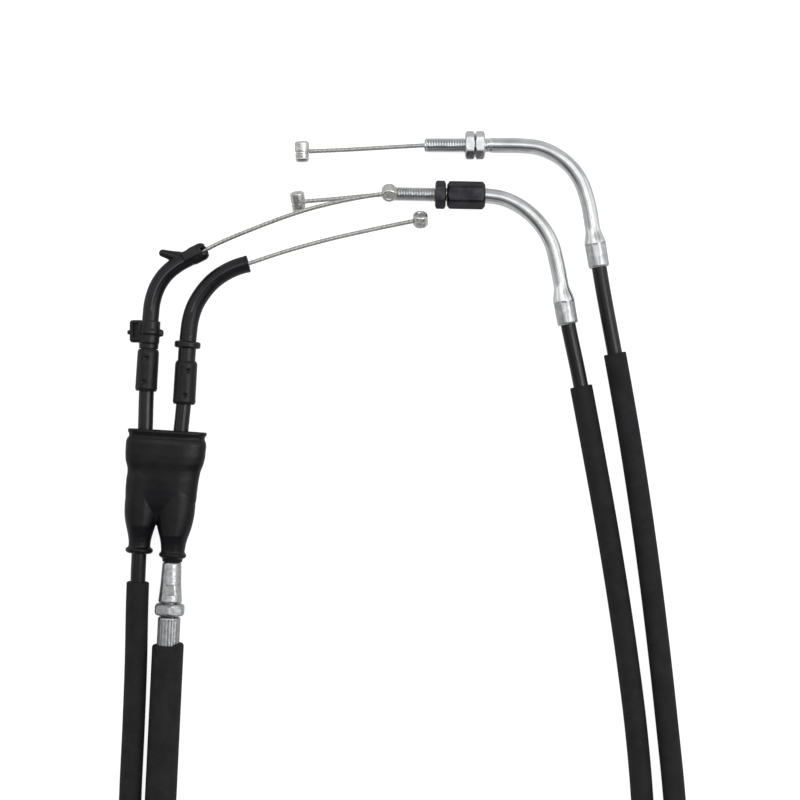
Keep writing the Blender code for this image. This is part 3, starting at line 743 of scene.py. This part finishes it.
tip = pullRoute.length
pipeEnd = tip - pipe["pullShort"]
throttlePipe("pullPipe", "pull_throttle_pipe", pullRoute, pullSwage,
             [(pipeEnd - 0.4, pipe["radius"], 0.6), (pipeEnd, 2.6)], [])
out = axisAt(pullRoute, tip)
ridge = thread(*stud["thread"])
piece = sweep("threadedStud", out, stud["outer"], stud["inner"], platedNut, 0.2, 64, [ridge])
assign(piece, "pull_threaded_stud", "threaded_stud")
hexNut("throttleLockNut", "pull_throttle_lock_nut", "throttle_lock_nut", out, nutPlaces["black"], blackNut)
piece = sweep("throttleAdjuster", out, adjuster["outer"], adjuster["inner"], blackSteel, 0.2, 96,
              [hexagon(*adjuster["hexagon"], **adjuster["chamfer"])], sharp=28)
assign(piece, "pull_throttle_adjuster", "throttle_adjuster")
print("pull throttle end made")


# Moulded elbows at the grip. Block sizes are along, across and up, in mm.

# Parting is where a parting line ends, at which angle it runs, and how high it stands. The next pair
# is the stretch along which its crest gets a painted highlight.
grip = {"radius": 3.3, "bore": 1.25, "parting": (36, 84, 0.45), "wornAndHighlit": (9, 34), "voxel": 0.17,
        "mouth": (9.2, 7.2, 7.0), "pad": (6.8, 4.0, 7.5), "notch": (4.4, 2.2, 5.4), "recess": (2.4, 4.4, 4.6),
        "web": (5.0, 3.6, 4.2), "webCentre": (-86.4, 56.6, 7), "webTurn": -30,
        "finRoot": (-85.0, 55.8, 7), "finHeading": (-11.0, 3.2, 0),
        "fin": [(0, 2.8), (3.5, 2.6), (6.0, 2.1), (8.5, 1.7), (10.4, 1.5), (11.2, 1.1), (11.6, 0.4)]}
pullElbow = {"bore": [(0, 2.2), (0.3, 1.9), (2.2, 1.25)], "parting": (32, 92, 0.45), "wornAndHighlit": (1.5, 31),
             "lip": [(0, 3.25), (0.15, 3.45), (0.9, 3.5), (1.3, 3.38)]}
clipSize = {"y": 29.2, "bore": 3.65, "voxel": 0.2, "slotCentre": (-105.3, 27.7, 9.2), "slot": (2.3, 6.3, 7.6),
            "ring": [(-2.6, 3.85), (-2.2, 4.1), (0.9, 4.1), (1.1, 4.35), (2.6, 4.4), (3.0, 4.1), (6.2, 4.1),
                     (6.5, 3.85), (8.6, 3.85)]}
collar = {"y": 23.6, "inner": [(0, 3.6), (2.8, 3.6)],
          "outer": [(0, 4.3), (0.25, 4.9), (0.5, 5.15), (0.8, 5.2), (2.1, 5.2), (2.4, 5.1), (2.65, 4.8),
                    (2.8, 4.2)]}


# Paint a highlight on the crest of a parting line, by how near each point lies to it.
def paintCrestHighlight(piece, route, start, end, angle):
    steps = np.arange(start, end, 0.2)
    centre = route.at(steps)
    left, over = crossways(route.along(steps))
    turn = math.radians(angle)
    crest = centre + 3.5 * (math.cos(turn) * left + math.sin(turn) * over)
    points = np.empty(len(piece.data.vertices) * 3)
    piece.data.vertices.foreach_get("co", points)
    points = points.reshape(-1, 3) / mm + origin
    gap = np.array([np.sqrt(((crest - point) ** 2).sum(1).min()) for point in points])
    marks = piece.data.attributes.new("crest", "FLOAT", "POINT")
    marks.data.foreach_set("value", 1 - smooth((gap - 0.15) / 0.3))


# The raised line where the halves of the mould met, dying out towards the straight end.
def partingRidge(end, angle, high):
    def shape(s, theta, radius):
        turn = (theta - math.radians(angle) + math.pi) % (2 * math.pi) - math.pi
        return radius + high * np.exp(-(radius * turn / 0.32) ** 2) * (1 - smooth((s - end + 8) / 8))

    return shape


blockAt = returnRoute.at(5.0)
blockAlong = returnRoute.along(5.0)
blockTurn = math.atan2(blockAlong[1], blockAlong[0])
radius = grip["radius"]
end = elbowEnd["return"]
parts = [
    sweep("elbowTube", returnRoute, [(0, radius), (end, radius)], None, None, 0.5, 96,
          [partingRidge(*grip["parting"])]),
    block("mouthBlock", blockAt - 2.0 * blockAlong, grip["mouth"], blockTurn, 2.7),
    block("mouthPad", blockAt + 0.4 * blockAlong + np.array([-0.5, 0.9, 0.2]), grip["pad"], blockTurn, 0.5),
    sweep("fin", Axis(grip["finRoot"], grip["finHeading"]), grip["fin"], None, None, 0.3, 32),
    block("finWeb", grip["webCentre"], grip["web"], math.radians(grip["webTurn"]), 1.0),
]
elbow = merge("returnElbow", parts, grip["voxel"], nylon, 3)
bore = sweep("bore", returnRoute, [(-3, grip["bore"]), (end + 3, grip["bore"])], None, None, 1.0, 24)
notch = block("notch", returnRoute.at(-1.1) + np.array([0, 0.3, 2.4]), grip["notch"], blockTurn, 0)
recess = block("recess", returnRoute.at(-1.9) + np.array([0, 0, 0.2]), grip["recess"], blockTurn, 0)
carve(elbow, [bore, notch, recess])
paintCrestHighlight(elbow, returnRoute, *grip["wornAndHighlit"], grip["parting"][1])
assign(elbow, "return_grip_elbow", "root")

end = elbowEnd["pull"]
outer = pullElbow["lip"] + [(end - 12, 3.4), (end - 11.5, 3.5), (end - 0.2, 3.5), (end, 3.3)]
elbow = sweep("pullElbow", pullRoute, outer, pullElbow["bore"] + [(end, 1.25)], nylon, 0.5, 96,
              [partingRidge(*pullElbow["parting"])])
paintCrestHighlight(elbow, pullRoute, *pullElbow["wornAndHighlit"], pullElbow["parting"][1])
assign(elbow, "pull_grip_elbow", "root")

clipAxis = axisAt(returnRoute, returnRoute.down(clipSize["y"]))
parts = [
    sweep("clipRing", clipAxis, clipSize["ring"], None, None, 0.25, 56),
    block("clipLoop", (-104.9, 27.4, 7), (5.8, 9.0, 4.4), 0, 1.2),
    block("clipNub", (-108.0, 27.0, 7), (1.6, 1.7, 2.2), 0, 0.5),
    block("clipNubRight", (-95.9, 26.7, 7), (3.0, 2.9, 3.4), 0, 0.9),
]
clip = merge("elbowClip", parts, clipSize["voxel"], nylon, 4)
hole = sweep("clipHole", clipAxis, [(-6, clipSize["bore"]), (14, clipSize["bore"])], None, None, 1.0, 48)
slot = block("clipSlot", clipSize["slotCentre"], clipSize["slot"], 0, 0)
carve(clip, [hole, slot])
assign(clip, "return_elbow_clip", "root")

collarAxis = axisAt(pullRoute, pullRoute.down(collar["y"]))
piece = sweep("elbowCollar", collarAxis, collar["outer"], collar["inner"], nylon, 0.2, 64)
assign(piece, "pull_elbow_collar", "root")

# Top and foot are heights in the drawing. Dents are (length, angle) pairs, and swell widens the whole tube.
ferrules = {
    "return": {"route": returnRoute, "top": 20.4, "foot": 3.6, "swell": 0.02,
               "dents": [(3.7, 92), (13.1, 100)]},
    "pull": {"route": pullRoute, "top": 15.8, "foot": -1.6, "swell": 0.17,
             "dents": [(4.0, 72), (13.8, 82)]},
}
# Crimped tubes with chamfered ends, faint die flats and two punch marks that hold the elbow.
for label, size in ferrules.items():
    route = size["route"]
    swell = size["swell"]
    start = route.down(size["top"])
    length = route.down(size["foot"]) - start
    outer = [(0, 3.85), (0.2, 3.95), (1.0, 4.2 + swell), (1.4, 4.25 + swell), (length - 1.1, 4.4 + swell),
             (length - 0.3, 4.1 + swell), (length, 3.9)]
    shapes = [crimp(8.55 + 2 * swell, 1.5, length - 1.5)]
    shapes += [dent(at, math.radians(angle), 2.0, 0.55) for at, angle in size["dents"]]
    piece = sweep(label + "Ferrule", axisAt(route, start), outer, [(0, 3.75), (length, 3.75)], blackCrimp,
                  0.25, 96, shapes)
    assign(piece, label + "_grip_ferrule", "root")
print("grip ends made")


# Dust boot: a wide oval mouth that narrows into two legs.

# Legs are the places of the two legs to the side of the boot's middle, in mm.
boot = {"centre": np.array([-95.6, -30.0, 7.0]), "lean": math.radians(3.35), "bore": 3.5,
        "legs": {"return": -6.73, "pull": 6.7}, "voxel": 0.25, "roundness": 2.5, "valley": 0.12}
# Rings of the body and its cavity: own y, left edge, right edge and half thickness.
bootBody = [
    (18.0, -13.9, 17.4, 6.4), (17.6, -14.0, 17.5, 6.6), (16.7, -14.0, 17.5, 6.6), (16.2, -13.5, 16.9, 6.1),
    (14.9, -13.4, 16.8, 6.0), (14.2, -14.1, 17.3, 6.4), (12.8, -14.5, 17.6, 6.7), (8.0, -14.5, 17.4, 6.8),
    (5.2, -14.2, 16.9, 6.7), (2.4, -13.3, 15.9, 6.4), (0.4, -13.2, 15.6, 6.35), (-2.0, -13.5, 15.3, 6.4),
    (-6.0, -13.6, 15.0, 6.3), (-9.0, -13.5, 14.9, 6.0), (-12.0, -13.1, 14.3, 5.5), (-14.5, -12.3, 13.3, 4.7),
    (-16.5, -11.2, 11.9, 3.7), (-18.2, -9.5, 10.0, 2.6),
]
bootCavity = [(19.0, -12.5, 14.9, 5.1), (4.0, -12.5, 14.6, 5.1), (-1.0, -12.2, 13.8, 4.9),
              (-7.0, -12.1, 13.2, 4.6), (-11.0, -11.0, 12.2, 3.4)]
bootLegs = {
    "return": [(-3, 5.4), (3, 6.2), (8, 6.7), (12, 6.85), (15, 6.8), (17, 6.6), (19, 6.25), (21, 5.75),
               (23, 5.2), (25, 4.7), (27, 4.4), (29, 4.35), (29.35, 4.9), (29.7, 5.4), (30.3, 5.55),
               (30.9, 5.4), (31.3, 5.0), (31.6, 4.5)],
    "pull": [(-3, 6.2), (3, 7.2), (8, 7.9), (12, 7.95), (15, 7.8), (17, 7.55), (19, 7.2), (21, 6.75),
             (23, 6.15), (25, 5.5), (27, 5.05), (29, 4.8), (30.3, 4.7), (30.7, 5.05), (31.0, 5.4),
             (31.6, 5.5), (32.1, 5.4), (32.5, 4.9), (32.8, 4.1), (34.0, 4.0), (34.3, 3.9)],
}


# From the boot's own frame, with +Y towards its mouth, to the drawing.
def bootPlace(points):
    c, s = math.cos(-boot["lean"]), math.sin(-boot["lean"])
    turned = points @ np.array([[c, s, 0], [-s, c, 0], [0, 0, 1]])
    return turned + boot["centre"]


# Oval rings from the mouth down, pinched along the middle where the two lobes meet.
def bootShell(name, sections, roundness, valley):
    sides = 72
    angle = 2 * math.pi * np.arange(sides) / sides
    c, s = np.cos(angle), np.sin(angle)
    fine = []
    sections = np.array(sections)
    for upper, lower in zip(sections, sections[1:]):
        count = max(1, int(abs(upper[0] - lower[0]) / 0.8))
        fine += [upper + (lower - upper) * i / count for i in range(count)]
    fine.append(sections[-1])
    rings = []
    for y, left, right, thick in fine:
        x = (left + right) / 2 + (right - left) / 2 * np.sign(c) * np.abs(c) ** (2 / roundness)
        z = thick * np.sign(s) * np.abs(s) ** (2 / roundness)
        pinch = valley * smooth((3 - y) / 16) * np.exp(-(x / 3.2) ** 2)
        rings.append(np.stack([x, np.full(sides, y), z * (1 - pinch)], -1))
    points = bootPlace(np.vstack(rings))
    mesh = bpy.data.meshes.new(name)
    mesh.from_pydata(toWorld(points).tolist(), [], ringFaces(len(fine), sides, False))
    tidy(mesh)
    return linkMesh(name, mesh, None)


# The boot's own downward direction at a leg, measured so that s is minus its own y.
def bootLine(x):
    ends = bootPlace(np.array([[x, 0, 0], [x, -1.0, 0]]))
    return Axis(ends[0], ends[1] - ends[0])


# Round while thin, and oval where a leg would be thicker than the boot.
def flattened(s, theta, radius):
    squash = np.maximum(radius / 5.9, 1)
    return radius / np.hypot(np.cos(theta), squash * np.sin(theta))


parts = [bootShell("bootBody", bootBody, boot["roundness"], boot["valley"])]
for side, profile in bootLegs.items():
    parts.append(sweep("leg", bootLine(boot["legs"][side]), profile, None, None, 0.4, 64, [flattened]))
bootPiece = merge("dustBoot", parts, boot["voxel"], bootRubber, 9)
cutters = [bootShell("cavity", bootCavity, 3.0, 0.0)]
for x in boot["legs"].values():
    profile = [(7, boot["bore"]), (37, boot["bore"])]
    cutters.append(sweep("legBore", bootLine(x), profile, None, None, 2.0, 48))
carve(bootPiece, cutters, 45)
assign(bootPiece, "double_dust_boot", "boot")
print("boot made")


# In-line adjuster on the pull cable, from the bolt's top down, in mm.

bolt = {"outer": [(0, 3.5), (0.25, 3.7), (0.8, 3.8), (9.0, 4.15), (15.4, 4.7), (15.9, 4.5), (16.1, 2.9),
                  (36.4, 2.9, 0.25), (37, 2.4)],
        "inner": [(0, 3.3), (0.2, 3.3), (8.3, 3.3), (8.3, 1.25), (37, 1.25)],
        "flats": {"apart": 7.7, "start": 8.9, "end": 12.6}, "thread": (16.3, 36.6, 1.0, 0.45)}
lockNut = {"skin": tumbledZinc, "thick": 4.7, "flats": 11.4, "face": 4.4, "corner": 6.8, "bore": 3.05,
           "chamfer": {"cornerUp": True, "cone": 0.9, "slope": 1.1, "wornAndHighlit": 0.96}}
barrel = {"outer": [(21.7, 4.0), (22.1, 4.4), (22.5, 4.5), (47.4, 4.5, 0.4), (48.0, 4.0)],
          "inner": [(21.7, 3.4), (48.0, 3.4)], "ribs": (20, 0.28, 22.3, 47.0)}
endCap = {"outer": [(48.3, 3.9), (48.6, 4.2), (56.9, 4.2), (57.3, 3.9)],
          "inner": [(48.3, 3.35), (57.3, 3.35)]}
# The cover's top edge slants: its sides differ by the peak.
cover = {"outer": [(32.9, 5.6), (33.2, 6.05), (33.7, 6.3), (96.9, 6.3, 0.8), (97.6, 6.0), (97.9, 5.6)],
         "inner": [(32.9, 5.15), (97.9, 5.15)], "peak": 1.0}
line = axisAt(pullRoute, adjusterTop)


# Two flats for a wrench, top and bottom.
def flats(s, theta, radius):
    flat = bolt["flats"]["apart"] / 2 / np.maximum(np.abs(np.sin(theta)), 0.02)
    within = (s > bolt["flats"]["start"]) & (s < bolt["flats"]["end"])
    return np.where(within, np.minimum(flat, radius), radius)


# Coarse lengthwise ribs to grip the barrel by.
def ribs(count, depth, start, end):
    def shape(s, theta, radius):
        wave = np.abs(np.sin(theta * count / 2)) ** 0.6
        part = smooth(np.minimum(s - start, end - s) / 0.6)
        return radius - depth * (1 - wave) * part

    # Marks the roots between the ribs for painted shade.
    shape.deep = depth
    return shape


# Push one side of the cover's top edge up the cable, less and less further down.
def slant(s, theta):
    return -cover["peak"] * smooth((np.cos(theta) - 0.35) / 0.5) * (1 - smooth((s - 33) / 4))


piece = sweep("adjusterBolt", line, bolt["outer"], bolt["inner"], tumbledZinc, 0.3, 72,
              [flats, thread(*bolt["thread"])], sharp=30)
assign(piece, "pull_adjuster_bolt", "root")
hexNut("adjusterLockNut", "pull_adjuster_lock_nut", "adjuster_lock_nut", line, nutPlaces["inLine"], lockNut)
piece = sweep("adjusterBarrel", line, barrel["outer"], barrel["inner"], tumbledZinc, 0.3, 144,
              [ribs(*barrel["ribs"])], sharp=30)
assign(piece, "pull_adjuster_barrel", "adjuster_barrel")
piece = sweep("conduitEndCap", line, endCap["outer"], endCap["inner"], nylon, 0.5, 48)
assign(piece, "pull_lower_end_cap", "conduit_end")
piece = sweep("adjusterCover", line, cover["outer"], cover["inner"], sleeveRubber, 0.5, 72, slip=slant)
assign(piece, "pull_adjuster_cover", "adjuster_cover")
print("in-line adjuster made")


# Stage and light.

# The floor is in metres. Its glow is weaker in what the metal mirrors than in what the lens sees.
stage = {"size": 60.0, "colour": "#a8a8a8", "roughness": 0.9, "mirroredGlow": 0.32, "seenGlow": 0.9}
work = bmesh.new()
bmesh.ops.create_grid(work, x_segments=1, y_segments=1, size=stage["size"] / 2)
mesh = bpy.data.meshes.new("floor")
work.to_mesh(mesh)
work.free()
paper = bpy.data.materials.new("paleStudioFloor")
paper.use_nodes = True
paperShader = paper.node_tree.nodes["Principled BSDF"]
paperShader.inputs["Base Color"].default_value = toLinear(stage["colour"])
paperShader.inputs["Roughness"].default_value = stage["roughness"]
paperShader.inputs["Emission Color"].default_value = (1, 1, 1, 1)
seen = addNode(paper.node_tree, "LightPath").outputs["Is Camera Ray"]
glow = addNode(paper.node_tree, "MapRange",
               {"To Min": stage["mirroredGlow"], "To Max": stage["seenGlow"]}, {"Value": seen})
paper.node_tree.links.new(glow.outputs["Result"], paperShader.inputs["Emission Strength"])
floor = linkMesh("floor", mesh, paper)

# A bright sky with one dark side and greyer edges, as between two soft boxes. Each stop is a direction,
# by how far it leans along one axis from -1 to 1, and its brightness. The two ends come first.
sky = {
    "lengthwise": [(-1.0, 0.4), (1.0, 0.8), (-0.88, 0.6), (-0.72, 0.14), (-0.5, 0.12), (-0.3, 0.5),
                   (-0.02, 0.65), (0.08, 1.2), (0.45, 1.4), (0.6, 0.7), (0.85, 0.6)],
    "across": [(-1.0, 1.0), (1.0, 1.0), (-0.82, 0.5), (-0.55, 0.95), (-0.3, 1.0), (-0.12, 0.75), (0.0, 0.6),
               (0.1, 0.62), (0.18, 0.95), (0.26, 0.6), (0.36, 1.05), (0.5, 0.95), (0.62, 0.5), (0.82, 0.55)],
}
# Places in the drawing's mm, sizes in metres and power in watts.
lamps = {
    "overheadBox": {"place": (-150, 500, 1500), "size": (0.45, 0.9), "power": 1.6},
    "sideBox": {"place": (760, 20, 1100), "size": (0.35, 0.9), "power": 4},
}

world = bpy.data.worlds.new("softStudio")
bpy.context.scene.world = world
world.use_nodes = True
tree = world.node_tree
background = tree.nodes["Background"]
towards = addNode(tree, "TexCoord").outputs["Generated"]
axes = addNode(tree, "SeparateXYZ", links={"Vector": towards})


def ramp(socket, stops):
    scaled = addNode(tree, "MapRange", {"From Min": -1.0, "From Max": 1.0}, {"Value": socket})
    node = addNode(tree, "ValToRGB", links={"Fac": scaled})
    elements = node.color_ramp.elements
    for i, (place, value) in enumerate(stops):
        element = elements[i] if i < 2 else elements.new(1.0)
        element.position = (place + 1) / 2
        element.color = (value, value, value, 1)
    return node.outputs["Color"]


lengthwise = ramp(axes.outputs["Y"], sky["lengthwise"])
across = ramp(axes.outputs["X"], sky["across"])
both = addNode(tree, "Mix", {"data_type": "RGBA", "blend_type": "MULTIPLY", 0: 1.0},
               {6: lengthwise, 7: across})
# Beyond the floor the lens sees plain white, while the metal mirrors the sky above.
seen = addNode(tree, "LightPath").outputs["Is Camera Ray"]
shown = addNode(tree, "Mix", {"data_type": "RGBA", 7: (1.0, 1.0, 1.0, 1.0)},
                {0: seen, 6: both.outputs[2]})
tree.links.new(shown.outputs[2], background.inputs["Color"])
background.inputs["Strength"].default_value = 1.0

for name, look in lamps.items():
    lamp = bpy.data.lights.new(name, "AREA")
    lamp.shape = "RECTANGLE"
    lamp.size, lamp.size_y = look["size"]
    lamp.energy = look["power"]
    box = bpy.data.objects.new(name, lamp)
    box.location = toWorld(look["place"])
    box.rotation_euler = (Vector(toWorld((0, 0, 0))) - box.location).to_track_quat("-Z", "Y").to_euler()
    bpy.context.scene.collection.objects.link(box)
bpy.context.scene.view_settings.view_transform = "Standard"
print("stage lit")
